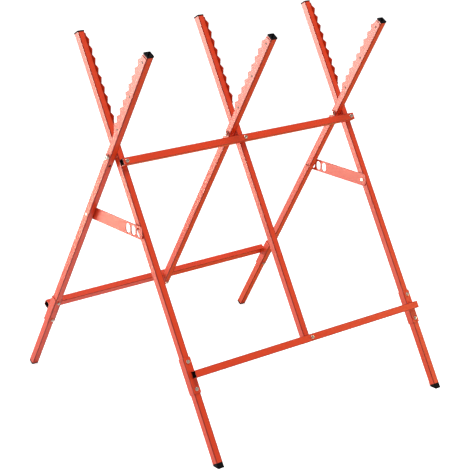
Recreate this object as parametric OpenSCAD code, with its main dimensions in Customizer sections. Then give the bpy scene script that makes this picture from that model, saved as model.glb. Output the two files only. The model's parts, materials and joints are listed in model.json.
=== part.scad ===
// Folding log saw stand: three crossed frames of square tube, toothed upper arms,
// a top rail, two low rails and two slotted spreader bars.
// The front legs carry the pivots. The rear legs are the same parts, turned half round.

/* [Stance] */
// Height of the folding pivot above the floor
pivot_height = 731; // [650:1:850]
// Lean of each leg from upright when the stand is open
lean_deg = 30.4; // [24:0.1:36]
// Distance from one crossed frame to the next
frame_spacing = 398; // [250:1:600]
// Length of an upper arm, from the pivot to the top of its cap
arm_length = 345; // [300:1:420]

/* [Tube] */
// Width of the square tube
tube_w = 20; // [18:0.5:26]
// Wall of the tube
tube_wall = 1.5; // [1:0.1:2]
// Outside corner radius of the tube
tube_corner = 2; // [1:0.1:3]

/* [Rails] */
// Top rail's centre below the pivot, measured along the front leg
top_rail_drop = 26; // [22:0.5:60]
// Top rail's length beyond its outer bolts
top_rail_overhang = 11; // [8:0.5:40]
// Low rail's centre below the pivot, measured along the leg
low_rail_drop = 605.5; // [500:0.5:640]
// Low rail's length beyond the leg's centre line, at its short end
low_rail_stub = 1; // [0:0.5:10]

/* [Sleeves] */
// Length of a sleeve that joins an upper leg to its foot tube
sleeve_len = 97; // [85:1:120]
// Sheet thickness of a sleeve
sleeve_wall = 2; // [1.5:0.1:3]
// Distance between the two bolts of a sleeve
sleeve_bolt_pitch = 73; // [55:1:75]
// How far a sleeve's open edges stop short of the tube's inner face
sleeve_lip = 0.5; // [0:0.1:4]

/* [Toothed plates] */
// Thickness of a toothed plate
plate_t = 2; // [1.5:0.1:3]
// Distance from the top of the arm to the top of the plate
plate_inset = 8; // [5:0.5:20]
// Number of teeth
tooth_count = 9; // [5:1:9]
// Distance from tooth to tooth
tooth_pitch = 26.85; // [20:0.05:27]
// Height of a tooth above the tube's edge
tooth_h = 8.8; // [5:0.1:12]
// Distance from the plate's top to the first tip
tooth_lead = 22; // [16:0.5:24]
// Distance from the last tip to the plate's lower end
tooth_tail = 19.2; // [16:0.1:24]
// Distance of the outer rivets from the plate's ends
rivet_inset = 16; // [10:0.5:30]
// Rivet shank diameter
rivet_d = 3.2; // [3:0.1:4.8]
// Rivet head diameter
rivet_head_d = 6.5; // [6:0.1:10]
// Rivet head height
rivet_head_h = 1.1; // [0.8:0.1:2.5]

/* [Spreader bars] */
// Height of a spreader below the pivot, measured along the leg
spreader_drop = 212; // [170:1:260]
// Width of a spreader bar
spreader_w = 36; // [34:0.5:44]
// Thickness of a spreader bar
spreader_t = 2; // [1.5:0.1:3]
// Corner radius of a spreader bar
spreader_corner = 11; // [6:0.5:15]
// Length of a spreader bar beyond its pivot and beyond its last slot's centre
spreader_overhang = 15; // [14:0.5:25]
// Size of a slot along the bar
slot_along = 18; // [12:0.5:20]
// Size of a slot across the bar
slot_across = 26; // [22:0.5:28]
// Distance from slot to slot
slot_pitch = 24.4; // [22:0.1:30]
// Number of slots
slot_count = 3; // [1:1:4]

/* [Caps and feet] */
// Flange thickness of a cap on an upper arm
tip_cap_t = 3.5; // [1.5:0.1:5]
// How far that flange stands out past the tube
tip_overhang = 0.8; // [0:0.1:1.5]
// Depth of the dish in the top of such a cap
tip_dish = 0.8; // [0.4:0.1:1.2]
// Rim width around that dish
tip_rim = 2.5; // [1.5:0.1:5]
// Length of a cap's plug inside the tube
plug_len = 15; // [8:0.5:25]
// Wall of that plug
plug_wall = 2; // [1:0.1:3]
// Height of a front foot at its inner side
front_foot_h = 4; // [2:0.5:12]
// Flange thickness of a rear foot
rear_foot_t = 5.5; // [3:0.5:12]
// Depth worn off the lower edge of a rear foot, where it stands
rear_foot_flat = 1; // [0.5:0.1:1.5]

/* [Pivot bolts] */
// Shank diameter of a pivot bolt
pivot_d = 8; // [6:0.5:10]
// Diameter of its low head
pivot_head_d = 14; // [12:0.5:17]
// Width across the flats of its nut
pivot_af = 13; // [11:0.5:17]
// Height of its nut
pivot_nut_h = 6.5; // [5:0.1:9]
// Outside diameter of its washer and of the spacer between the legs
pivot_washer_d = 15; // [15:0.5:19]
// Thickness of its washer
pivot_washer_t = 1.6; // [1:0.1:2.5]

/* [Small bolts] */
// Shank diameter of the small bolts
bolt_d = 5; // [4:0.5:8]
// Width across the flats of their heads and nuts
bolt_af = 8; // [7:0.5:13]
// Height of their heads
bolt_head_h = 3.5; // [2.5:0.1:5.5]
// Height of their nuts
bolt_nut_h = 4.5; // [3.5:0.1:7]
// Outside diameter of their washers
bolt_washer_d = 10; // [9:0.5:16]
// Thickness of their washers
bolt_washer_t = 1; // [0.8:0.1:2]
// Length of every bolt beyond its nut
bolt_tip = 2; // [1:0.5:5]
// Depth of the thread, by which a bolt's end is thinner than its shank
thread_depth = 0.65; // [0.3:0.05:0.8]
// Diameter of the unused hole in a rear leg, level with the top rail
spare_hole_d = 8; // [5:0.5:10]

/* [Spreader rivets and catch pins] */
// Shank diameter of a spreader's rivet
pin_d = 5; // [4:0.5:6]
// Shank diameter of a catch pin, which is hollow at its tail
catch_pin_d = 8; // [6:0.5:9]
// Wall of that hollow
catch_pin_wall = 1; // [0.8:0.1:2]
// Head diameter of a spreader's rivet
spreader_head_d = 11; // [9:0.5:13]
// Head diameter of a catch pin, which fits a slot
catch_head_d = 15; // [8:0.5:15]
// Head height of both, and of a pivot bolt
low_head_h = 2; // [1.5:0.1:2.5]
// Step by which a riveted tail is wider than its shank, all round
pin_tail_step = 1.5; // [1:0.25:2.5]
// Height of a riveted tail
pin_tail_h = 1; // [0.5:0.1:2]

/* [Clearances] */
// Gap between a moving piece and its neighbour
play = 0.3; // [0.2:0.05:0.6]
// Radial running clearance of a hinge pin
pin_clear = 0.05; // [0.02:0.01:0.1]
// Radial clearance of a fixed bolt in its hole
hole_clear = 0.2; // [0.1:0.05:0.5]
// Clearance between a tube and the sleeve or plug that fits it
tube_fit = 0.15; // [0.1:0.05:0.3]

/* [Hidden] */
$fn = 64;
LEFT = -1;
CENTRE = 0;
RIGHT = 1;
// Turn about the upright axis that carries a front leg's part to this side
FRONT = 0;
REAR = 180;

// The gap between crossing legs holds a spreader bar and the low head of its rivet
frame_gap = spreader_t + low_head_h + 3 * play;
leg_x = (frame_gap + tube_w) / 2;
tube_half = tube_w / 2;
tube_corner_in = max(tube_corner - tube_wall, 0.3);
sleeve_seat = tube_half + tube_fit + sleeve_wall;

// Places along a leg, from the pivot, with downwards as positive drop
tube_top = arm_length - tip_cap_t;
leg_joint_gap = 0.6;
foot_end_in = (pivot_height - tube_half * sin(lean_deg)) / cos(lean_deg);
front_tube_end = foot_end_in - front_foot_h;
rear_foot_end = foot_end_in + rear_foot_flat / cos(lean_deg);
rear_tube_end = rear_foot_end - rear_foot_t;
sleeve_bolt_drops = [for (s = [-1, 1]) low_rail_drop + s * sleeve_bolt_pitch / 2];

plate_len = tooth_lead + (tooth_count - 1) * tooth_pitch + tooth_tail;
plate_top = arm_length - plate_inset;
rivet_pitch = plate_len / 2 - rivet_inset;
rivet_heights = [for (n = [0:2]) plate_top - rivet_inset - n * rivet_pitch];

spreader_reach = spreader_drop * sin(lean_deg);
spreader_z = pivot_height - spreader_drop * cos(lean_deg);
slot_places = [for (n = [0:slot_count - 1]) 2 * spreader_reach - n * slot_pitch];

// The origin lies on the floor, under the middle of the whole stand's box
left_reach = play + pivot_washer_t + pivot_nut_h + bolt_tip;
right_reach = max(low_head_h, plate_t + rivet_head_h, sleeve_wall + tube_fit, top_rail_overhang - tube_half);
x_offset = (left_reach - right_reach) / 2;
front_reach = pivot_height * tan(lean_deg) + tube_half / cos(lean_deg);
rear_reach = rear_foot_end * sin(lean_deg) + tube_half * cos(lean_deg);
y_offset = (front_reach - rear_reach) / 2;

red = [0.80, 0.20, 0.12];
zinc = [0.80, 0.79, 0.74];
black = [0.08, 0.08, 0.09];
dark_steel = [0.20, 0.18, 0.17];

// Frame of one side's legs: x along the rails, outer side at -y, z up along the legs from the pivot
module on_side(side) {
    translate([x_offset, y_offset, 0]) rotate([0, 0, side])
        translate([0, 0, pivot_height]) rotate([-lean_deg, 0, 0]) children();
}

// Frame of one leg: as on_side, with x = 0 on the tube's centre line
module on_leg(side, place) {
    own_place = side == FRONT ? place : -place;
    on_side(side) translate([own_place * frame_spacing + leg_x, 0, 0]) children();
}

// Turns a fastener that stands along +z so that it points to the leg's outer side
module facing_out() rotate([90, 0, 0]) children();
module facing_in() rotate([-90, 0, 0]) children();
module facing_gap() rotate([0, -90, 0]) children();
module facing_away() rotate([0, 90, 0]) children();

// Turns an outline drawn in the plane of a leg's side, so that it is extruded along x
module side_outline(thick) {
    rotate([90, 0, 90]) linear_extrude(thick) children();
}

module rounded_square(w, r) {
    square([w - 2 * r, w], center = true);
    square([w, w - 2 * r], center = true);
    for (x = [-1, 1], y = [-1, 1])
        translate([x, y] * (w / 2 - r)) circle(r);
}

module tube(len) {
    linear_extrude(len) difference() {
        rounded_square(tube_w, tube_corner);
        rounded_square(tube_w - 2 * tube_wall, tube_corner_in);
    }
}

// Round hole across a tube, along y or along x
module hole_y(d) rotate([90, 0, 0]) cylinder(d = d, h = 2 * tube_w, center = true);
module hole_x(d) rotate([0, 90, 0]) cylinder(d = d, h = 2 * tube_w, center = true);
bolt_hole = bolt_d + 2 * hole_clear;

// Rivet holes go through the plate and the tube's near wall only
module rivet_holes() {
    for (z = rivet_heights) translate([tube_half - 2 * tube_wall, 0, z])
        facing_away() cylinder(d = rivet_d + 2 * pin_clear, h = 2 * tube_wall + 2 * plate_t);
}

module upper_leg(side, place) {
    drop = place == CENTRE ? low_rail_drop + tube_half : low_rail_drop - leg_joint_gap / 2;
    low_bolt_drop = place == CENTRE ? low_rail_drop : sleeve_bolt_drops[0];
    cross_pin_d = place == catch_place(side) ? catch_pin_d : pin_d;
    color(red) on_leg(side, place) difference() {
        translate([0, 0, -drop]) tube(drop + tube_top);
        hole_x(pivot_d + 2 * pin_clear);
        translate([0, 0, -top_rail_drop]) hole_y(side == FRONT ? bolt_hole : spare_hole_d);
        translate([0, 0, -low_bolt_drop]) hole_y(bolt_hole);
        if (place != CENTRE) translate([0, 0, -spreader_drop]) hole_x(cross_pin_d + 2 * pin_clear);
        rivet_holes();
    }
}

module foot_tube(side, place) {
    top_drop = low_rail_drop + leg_joint_gap / 2;
    end_drop = side == FRONT ? front_tube_end : rear_tube_end;
    color(red) on_leg(side, place) difference() {
        translate([0, 0, -end_drop]) tube(end_drop - top_drop);
        translate([0, 0, -sleeve_bolt_drops[1]]) hole_y(bolt_hole);
    }
}

// Toothed edge from the plate's top down: valley, tip, valley, ...
function tooth_edge() = [
    for (n = [0:2 * tooth_count])
        [-tube_half - (n % 2) * tooth_h, plate_top - tooth_lead - (n - 1) * tooth_pitch / 2]
];

module toothed_plate(side, place) {
    bottom = plate_top - plate_len;
    outline = concat(
        [[tube_half, bottom], [tube_half, plate_top], [-tube_half, plate_top]],
        tooth_edge(),
        [[-tube_half, bottom]]
    );
    color(red) on_leg(side, place) difference() {
        translate([tube_half, 0, 0]) side_outline(plate_t) polygon(outline);
        rivet_holes();
    }
}

// Blind rivet, head down on the plate's face at z = 0
module rivet() {
    bulb_h = 3;
    ball = (pow(rivet_head_d / 2, 2) + pow(rivet_head_h, 2)) / (2 * rivet_head_h);
    intersection() {
        translate([0, 0, rivet_head_h - ball]) sphere(ball);
        cylinder(d = rivet_head_d + 1, h = rivet_head_h);
    }
    translate([0, 0, -plate_t - tube_wall - bulb_h])
        cylinder(d = rivet_d, h = plate_t + tube_wall + bulb_h + rivet_head_h / 2);
}

module rivets(side) {
    color(dark_steel) for (place = [LEFT, CENTRE, RIGHT], z = rivet_heights)
        on_leg(side, place) translate([tube_half + plate_t, 0, z]) facing_away() rivet();
}

// Rail of square tube along x, from x_start to x_end, bored for bolts at the places listed
module rail(x_start, x_end, bores) {
    difference() {
        translate([x_start, 0, 0]) rotate([0, 90, 0]) tube(x_end - x_start);
        for (place = bores) translate([place * frame_spacing + leg_x, 0, 0]) hole_y(bolt_hole);
    }
}

module top_rail() {
    outer_bolt = frame_spacing + top_rail_overhang;
    color(red) on_side(FRONT) translate([0, -tube_w, -top_rail_drop])
        rail(leg_x - outer_bolt, leg_x + outer_bolt, [LEFT, CENTRE, RIGHT]);
}

module low_rail(side) {
    x_start = leg_x - frame_spacing - low_rail_stub;
    x_end = leg_x + frame_spacing + tube_half;
    color(red) on_side(side) translate([0, -sleeve_seat - tube_half, -low_rail_drop])
        rail(x_start, x_end, [CENTRE]);
}

// Channel with its web on the leg's outer side and its open side facing in
module sleeve(side, place) {
    inner_w = tube_w + 2 * tube_fit;
    edge_y = tube_half - sleeve_lip;
    color(red) on_leg(side, place) translate([0, 0, -low_rail_drop]) difference() {
        translate([0, 0, -sleeve_len / 2]) linear_extrude(sleeve_len) difference() {
            rounded_square(2 * sleeve_seat, sleeve_wall + tube_fit);
            square(inner_w, center = true);
            translate([-tube_w, edge_y]) square(2 * tube_w);
        }
        for (s = [-1, 1]) translate([0, 0, s * sleeve_bolt_pitch / 2]) hole_y(bolt_hole);
    }
}

// Hollow plug that fits inside a tube, standing up from z = 0
module plug() {
    w = tube_w - 2 * tube_wall - 2 * tube_fit;
    linear_extrude(plug_len) difference() {
        rounded_square(w, tube_corner_in);
        square(w - 2 * plug_wall, center = true);
    }
}

module tip_cap(side, place) {
    color(black) on_leg(side, place) translate([0, 0, tube_top]) {
        mirror([0, 0, 1]) plug();
        difference() {
            linear_extrude(tip_cap_t)
                rounded_square(tube_w + 2 * tip_overhang, tube_corner + tip_overhang);
            translate([0, 0, tip_cap_t - tip_dish]) linear_extrude(2 * tip_dish)
                rounded_square(tube_w - 2 * tip_rim, tube_corner_in);
        }
    }
}

module below_floor() {
    reach = 2 * front_reach;
    translate([-reach, -reach, -reach]) cube([2 * reach, 2 * reach, reach]);
}

// A foot is a block under its tube, cut level with the floor
module foot(side, place) {
    end_drop = side == FRONT ? front_tube_end : rear_tube_end;
    block_h = side == FRONT ? front_foot_h + 2 * tube_w : rear_foot_t;
    color(black) difference() {
        on_leg(side, place) translate([0, 0, -end_drop]) {
            plug();
            mirror([0, 0, 1]) linear_extrude(block_h) rounded_square(tube_w, tube_corner);
        }
        below_floor();
    }
}

// Hexagon with its upper corners turned off
module hex_prism(af, h) {
    chamfer_r = 0.47 * af;
    intersection() {
        cylinder(d = af / cos(30), h = h, $fn = 6);
        cylinder(r1 = chamfer_r + h * tan(60), r2 = chamfer_r, h = h);
    }
}

// Shank that hangs below z = 0 and reaches up into its head, with its end down to the thread's core
module shank(d, grip, into_head) {
    translate([0, 0, bolt_tip - grip]) cylinder(d = d, h = grip - bolt_tip + into_head);
    translate([0, 0, -grip]) cylinder(d = d - 2 * thread_depth, h = grip);
}

// Bolt whose head stands on z = 0
module hex_bolt(d, af, head_h, grip) {
    hex_prism(af, head_h);
    shank(d, grip, head_h / 2);
}

module nut(d, af, h) {
    difference() {
        hex_prism(af, h);
        cylinder(d = d + 2 * pin_clear, h = 3 * h, center = true);
    }
}

module washer(d, hole, t) {
    difference() {
        cylinder(d = d, h = t);
        cylinder(d = hole, h = 3 * t, center = true);
    }
}

// Low round head that stands on z = 0
module low_head(d) {
    rim = low_head_h / 2;
    cylinder(d = d, h = rim);
    translate([0, 0, rim]) cylinder(d1 = d, d2 = d - 2 * rim, h = low_head_h - rim);
}

// Pin with a low head on z = 0 and a riveted tail below its grip
module riveted_pin(d, head_d, grip) {
    low_head(head_d);
    translate([0, 0, -grip]) cylinder(d = d, h = grip + low_head_h / 2);
    translate([0, 0, -grip - pin_tail_h]) cylinder(d = d + 2 * pin_tail_step, h = pin_tail_h);
}

// Frame of one crossing: x = 0 in the middle of the gap, on the pivot's axis
module at_crossings() {
    for (place = [LEFT, CENTRE, RIGHT])
        translate([x_offset + place * frame_spacing, y_offset, pivot_height]) children();
}

// The pivot bolt's low head lies on the front leg, and its washer and nut outside the rear leg
pivot_face = frame_gap / 2 + tube_w;
pivot_nut_seat = pivot_face + play + pivot_washer_t;

module pivot_bolts() {
    grip = pivot_face + pivot_nut_seat + pivot_nut_h + bolt_tip;
    color(zinc) at_crossings() translate([pivot_face, 0, 0]) facing_away() {
        low_head(pivot_head_d);
        shank(pivot_d, grip, low_head_h / 2);
    }
}

module pivot_washers() {
    color(zinc) at_crossings() translate([-pivot_nut_seat, 0, 0]) facing_away()
        washer(pivot_washer_d, pivot_d + 2 * pin_clear, pivot_washer_t);
}

module pivot_spacers() {
    spacer_t = frame_gap - play;
    color(zinc) at_crossings() translate([play - frame_gap / 2, 0, 0]) facing_away()
        washer(pivot_washer_d, pivot_d + 2 * pin_clear, spacer_t);
}

module pivot_nuts() {
    color(zinc) at_crossings() translate([-pivot_nut_seat, 0, 0]) facing_gap()
        nut(pivot_d, pivot_af, pivot_nut_h);
}

// Small bolts run from a washer on an outer face, at y = -seat, to a nut on the leg's inner face
function small_grip(seat) = bolt_washer_t + seat + tube_half + bolt_nut_h + bolt_tip;

module small_bolt(seat) {
    translate([0, -seat - bolt_washer_t, 0]) facing_out()
        hex_bolt(bolt_d, bolt_af, bolt_head_h, small_grip(seat));
}

module small_washer() washer(bolt_washer_d, bolt_hole, bolt_washer_t);
module small_nut() nut(bolt_d, bolt_af, bolt_nut_h);

top_rail_seat = tube_half + tube_w;
low_rail_seat = sleeve_seat + tube_w;

module top_rail_bolts() {
    color(zinc) for (place = [LEFT, CENTRE, RIGHT])
        on_leg(FRONT, place) translate([0, 0, -top_rail_drop]) small_bolt(top_rail_seat);
}

module sleeve_bolts(side) {
    color(zinc) for (place = [LEFT, RIGHT], drop = sleeve_bolt_drops)
        on_leg(side, place) translate([0, 0, -drop]) small_bolt(sleeve_seat);
}

module centre_bolt(side) {
    color(zinc) on_leg(side, CENTRE) translate([0, 0, -low_rail_drop]) small_bolt(low_rail_seat);
}

// Thick washer that fills the sleeve's thickness between the centre leg and the low rail
module shim(side) {
    color(zinc) on_leg(side, CENTRE) translate([0, -tube_half, -low_rail_drop]) facing_out()
        washer(pivot_washer_d, bolt_hole, sleeve_seat - tube_half);
}

// Each side carries one spreader's pivot and the other spreader's catch
function pivot_place(side) = side == FRONT ? RIGHT : LEFT;
function catch_place(side) = -pivot_place(side);

module small_washers(side) {
    color(zinc) {
        if (side == FRONT) for (place = [LEFT, CENTRE, RIGHT])
            on_leg(side, place) translate([0, -top_rail_seat, -top_rail_drop]) facing_out() small_washer();
        for (place = [LEFT, RIGHT], drop = sleeve_bolt_drops)
            on_leg(side, place) translate([0, -sleeve_seat, -drop]) facing_out() small_washer();
        on_leg(side, CENTRE) translate([0, -low_rail_seat, -low_rail_drop]) facing_out() small_washer();
    }
}

module small_nuts(side) {
    color(zinc) {
        if (side == FRONT) for (place = [LEFT, CENTRE, RIGHT])
            on_leg(side, place) translate([0, tube_half, -top_rail_drop]) facing_in() small_nut();
        for (place = [LEFT, RIGHT], drop = sleeve_bolt_drops)
            on_leg(side, place) translate([0, tube_half, -drop]) facing_in() small_nut();
        on_leg(side, CENTRE) translate([0, tube_half, -low_rail_drop]) facing_in() small_nut();
    }
}

module spreader_rivet(side) {
    bar_space = play + spreader_t + play;
    color(zinc) on_leg(side, pivot_place(side)) translate([-tube_half - bar_space, 0, -spreader_drop])
        facing_gap() riveted_pin(pin_d, spreader_head_d, bar_space + tube_w);
}

module catch_pin(side) {
    color(red) on_leg(side, catch_place(side)) translate([-tube_half, 0, -spreader_drop])
        facing_gap() difference() {
            riveted_pin(catch_pin_d, catch_head_d, tube_w);
            translate([0, 0, -tube_w - 2 * pin_tail_h])
                cylinder(d = catch_pin_d - 2 * catch_pin_wall, h = tube_half + 2 * pin_tail_h);
        }
}

module bar_outline() {
    length = 2 * (spreader_reach + spreader_overhang);
    x = length / 2 - spreader_corner;
    y = spreader_w / 2 - spreader_corner;
    square([length - 2 * spreader_corner, spreader_w], center = true);
    square([length, spreader_w - 2 * spreader_corner], center = true);
    for (i = [-1, 1], j = [-1, 1]) translate([i * x, j * y]) circle(spreader_corner);
}

module slot_outline() {
    r = slot_along / 2;
    square([slot_along, slot_across - slot_along], center = true);
    for (j = [-1, 1]) translate([0, j * (slot_across / 2 - r)]) circle(r);
}

// The bar is level: it runs from its pivot on this side's leg to the other side's leg
module spreader(side) {
    color(red) translate([x_offset, y_offset, spreader_z]) rotate([0, 0, side])
        translate([frame_spacing + frame_gap / 2 - play - spreader_t, 0, 0])
            side_outline(spreader_t) difference() {
                bar_outline();
                translate([-spreader_reach, 0]) circle(pin_d / 2 + pin_clear);
                for (p = slot_places) translate([p - spreader_reach, 0]) slot_outline();
            }
}

upper_leg(FRONT, LEFT);  // front_leg_left
upper_leg(FRONT, CENTRE);  // front_leg_centre
upper_leg(FRONT, RIGHT);  // front_leg_right
upper_leg(REAR, LEFT);  // rear_leg_left
upper_leg(REAR, CENTRE);  // rear_leg_centre
upper_leg(REAR, RIGHT);  // rear_leg_right
toothed_plate(FRONT, LEFT);  // front_teeth_left
toothed_plate(FRONT, CENTRE);  // front_teeth_centre
toothed_plate(FRONT, RIGHT);  // front_teeth_right
toothed_plate(REAR, LEFT);  // rear_teeth_left
toothed_plate(REAR, CENTRE);  // rear_teeth_centre
toothed_plate(REAR, RIGHT);  // rear_teeth_right
top_rail();
low_rail(FRONT);  // front_low_rail
low_rail(REAR);  // rear_low_rail
sleeve(FRONT, LEFT);  // front_sleeve_left
sleeve(FRONT, RIGHT);  // front_sleeve_right
sleeve(REAR, LEFT);  // rear_sleeve_left
sleeve(REAR, RIGHT);  // rear_sleeve_right
foot_tube(FRONT, LEFT);  // front_foot_tube_left
foot_tube(FRONT, RIGHT);  // front_foot_tube_right
foot_tube(REAR, LEFT);  // rear_foot_tube_left
foot_tube(REAR, RIGHT);  // rear_foot_tube_right
foot(FRONT, LEFT);  // front_foot_left
foot(FRONT, RIGHT);  // front_foot_right
foot(REAR, LEFT);  // rear_foot_left
foot(REAR, RIGHT);  // rear_foot_right
tip_cap(FRONT, LEFT);  // front_tip_cap_left
tip_cap(FRONT, CENTRE);  // front_tip_cap_centre
tip_cap(FRONT, RIGHT);  // front_tip_cap_right
tip_cap(REAR, LEFT);  // rear_tip_cap_left
tip_cap(REAR, CENTRE);  // rear_tip_cap_centre
tip_cap(REAR, RIGHT);  // rear_tip_cap_right
pivot_bolts();
pivot_washers();
pivot_spacers();
pivot_nuts();
top_rail_bolts();
sleeve_bolts(FRONT);  // front_sleeve_bolts
sleeve_bolts(REAR);  // rear_sleeve_bolts
centre_bolt(FRONT);  // front_centre_bolt
centre_bolt(REAR);  // rear_centre_bolt
shim(FRONT);  // front_shim
shim(REAR);  // rear_shim
small_washers(FRONT);  // front_washers
small_washers(REAR);  // rear_washers
small_nuts(FRONT);  // front_nuts
small_nuts(REAR);  // rear_nuts
rivets(FRONT);  // front_rivets
rivets(REAR);  // rear_rivets
spreader(REAR);  // spreader_left
spreader(FRONT);  // spreader_right
spreader_rivet(FRONT);  // front_spreader_rivet
spreader_rivet(REAR);  // rear_spreader_rivet
catch_pin(FRONT);  // front_catch_pin
catch_pin(REAR);  // rear_catch_pin
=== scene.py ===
# %% [markdown]
# Log saw stand: a folding stand of square steel tube, powder coated red, with toothed upper arms that hold a
# log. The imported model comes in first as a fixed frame. Each of its nodes already has its true size and
# place, so the rest of this lesson gives the nodes their finishes, models a few small pieces that need
# softer shapes than the construction drawing has, and sets up a floor, lamps and a camera.

# %% Load the frame
import json
import math

import bmesh
import bpy
from mathutils import Matrix, Vector


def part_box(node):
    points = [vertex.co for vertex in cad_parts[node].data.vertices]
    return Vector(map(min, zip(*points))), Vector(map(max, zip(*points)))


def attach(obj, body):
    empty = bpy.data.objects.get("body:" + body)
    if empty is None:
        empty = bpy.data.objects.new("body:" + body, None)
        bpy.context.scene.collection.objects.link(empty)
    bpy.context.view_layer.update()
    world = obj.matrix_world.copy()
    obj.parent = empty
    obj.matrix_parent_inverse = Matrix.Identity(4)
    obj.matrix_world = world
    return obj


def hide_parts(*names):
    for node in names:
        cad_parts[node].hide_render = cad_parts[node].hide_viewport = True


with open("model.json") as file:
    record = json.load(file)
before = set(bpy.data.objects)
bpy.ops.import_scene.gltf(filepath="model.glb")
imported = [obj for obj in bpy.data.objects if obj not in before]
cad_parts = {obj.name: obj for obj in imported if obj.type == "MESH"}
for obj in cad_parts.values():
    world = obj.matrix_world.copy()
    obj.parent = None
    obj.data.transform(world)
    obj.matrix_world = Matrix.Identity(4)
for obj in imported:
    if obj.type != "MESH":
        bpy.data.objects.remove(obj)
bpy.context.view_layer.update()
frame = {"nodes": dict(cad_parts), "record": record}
nodes = frame["nodes"]
scene = bpy.context.scene

# %% [markdown]
# These are the stand's own sizes, the same as in its construction drawing but in metres. The legs lean both
# ways from the pivot bolts, so nearly every small piece is easiest to place in a leg's own frame: z runs up
# the leg from the pivot, y runs across it towards the inner side, and x runs along the rails. ORIGIN is the
# place on the floor below the middle pivot, a little off zero because the stand's whole box is centred.

# %% Sizes of the stand and the frame of a leg
MM = 0.001
PIVOT_HEIGHT = 731 * MM
LEAN = math.radians(30.4)
FRAME_SPACING = 398 * MM
ORIGIN = Vector((3.65, 2.6755, 0)) * MM
TUBE_W = 20 * MM
TUBE_WALL = 1.5 * MM
TUBE_CORNER = 2 * MM
LEG_GAP = 4.9 * MM
LEG_X = (TUBE_W + LEG_GAP) / 2
FRONT, REAR = 0, math.pi
LEFT, CENTRE, RIGHT = -1, 0, 1
SIDES = {"front": FRONT, "rear": REAR}
PLACES = {"left": LEFT, "centre": CENTRE, "right": RIGHT}


def leg_frame(side, place):
    """The matrix that takes a leg's own frame to the stand's frame."""
    own_place = place if side == FRONT else -place
    lean = Matrix.Translation((0, 0, PIVOT_HEIGHT)) @ Matrix.Rotation(-LEAN, 4, "X")
    across = Matrix.Translation((own_place * FRAME_SPACING + LEG_X, 0, 0))
    return Matrix.Translation(ORIGIN) @ Matrix.Rotation(side, 4, "Z") @ lean @ across


for side_name, side in SIDES.items():
    foot = leg_frame(side, LEFT) @ Vector((0, 0, -PIVOT_HEIGHT / math.cos(LEAN)))
    print(side_name, "left leg meets the floor near", [round(c, 4) for c in foot])

# %% [markdown]
# The camera stands about 4 m away at the front left, somewhat above the stand, with a long lens, as the
# straight and barely converging rails show. Its place was solved from the corners of the tubes. A camera
# could also be aimed with a Track To constraint, but a matrix made from yaw, pitch and roll says exactly
# where it looks.

# %% Camera
CAMERA_PLACE = Vector((-2.47022, -3.04469, 1.75729))
CAMERA_YAW = math.radians(39.1775)
CAMERA_PITCH = math.radians(-18.673)
CAMERA_ROLL = math.radians(0.5723)
FOCAL_PX = 1461.36
PHOTO_PX = 470
SENSOR_MM = 36

flat_ahead = Vector((math.sin(CAMERA_YAW), math.cos(CAMERA_YAW), 0))
forward = flat_ahead * math.cos(CAMERA_PITCH) + Vector((0, 0, math.sin(CAMERA_PITCH)))
level = Vector((math.cos(CAMERA_YAW), -math.sin(CAMERA_YAW), 0))
upright = level.cross(forward)
right = math.cos(CAMERA_ROLL) * level + math.sin(CAMERA_ROLL) * upright
up = math.cos(CAMERA_ROLL) * upright - math.sin(CAMERA_ROLL) * level

camera_data = bpy.data.cameras.new("camera")
camera = bpy.data.objects.new("camera", camera_data)
scene.collection.objects.link(camera)
camera_turn = Matrix((right, up, -forward)).transposed().to_4x4()
camera.matrix_world = Matrix.Translation(CAMERA_PLACE) @ camera_turn
camera_data.sensor_width = SENSOR_MM
camera_data.lens = FOCAL_PX * SENSOR_MM / PHOTO_PX
scene.camera = camera
print("camera lens", round(camera_data.lens, 1), "mm")

# %% [markdown]
# Every material below is a small tree of shader nodes. Adding nodes by hand takes many lines, so a few short
# helpers do it. The first adds a node with its settings, and the second makes a node group with named
# sockets. A group is worth having when more than one finish uses the same effect.

# %% Helpers for nodes, groups and materials
def add_node(tree, kind, values=None, **settings):
    """Adds a shader node, sets its properties and the values of its open sockets."""
    made = tree.nodes.new("ShaderNode" + kind)
    for name, value in settings.items():
        setattr(made, name, value)
    for name, value in (values or {}).items():
        made.inputs[name].default_value = value
    return made


def new_group(name, inputs, outputs):
    """An empty node group: inputs maps a name to its starting value, outputs a name to its socket kind."""
    group = bpy.data.node_groups.new(name, "ShaderNodeTree")
    for socket_name, value in inputs.items():
        kind = "NodeSocketVector" if isinstance(value, tuple) else "NodeSocketFloat"
        socket = group.interface.new_socket(socket_name, in_out="INPUT", socket_type=kind)
        socket.default_value = value
    for socket_name, kind in outputs.items():
        group.interface.new_socket(socket_name, in_out="OUTPUT", socket_type=kind)
    return group, group.nodes.new("NodeGroupInput"), group.nodes.new("NodeGroupOutput")


def use_group(tree, group, values):
    """Places a group in a material with its own values."""
    return add_node(tree, "Group", values, node_tree=group)


def new_finish(name):
    """A new material with its node tree and its Principled shader."""
    finish = bpy.data.materials.new(name)
    finish.use_nodes = True
    return finish, finish.node_tree, finish.node_tree.nodes["Principled BSDF"]


print("helpers for nodes ready")

# %% [markdown]
# Three more helpers do the small sums between nodes: a mix of two colours, a change of range, and
# arithmetic. Each gives back the socket that holds its result, so one call can feed the next. A Mix node
# has sockets for numbers, vectors and colours under the same names, so its colours are found by number.

# %% Helpers for sums between nodes
MIX_FACTOR, MIX_FIRST_COLOUR, MIX_SECOND_COLOUR, MIXED_COLOUR = 0, 6, 7, 2


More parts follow.
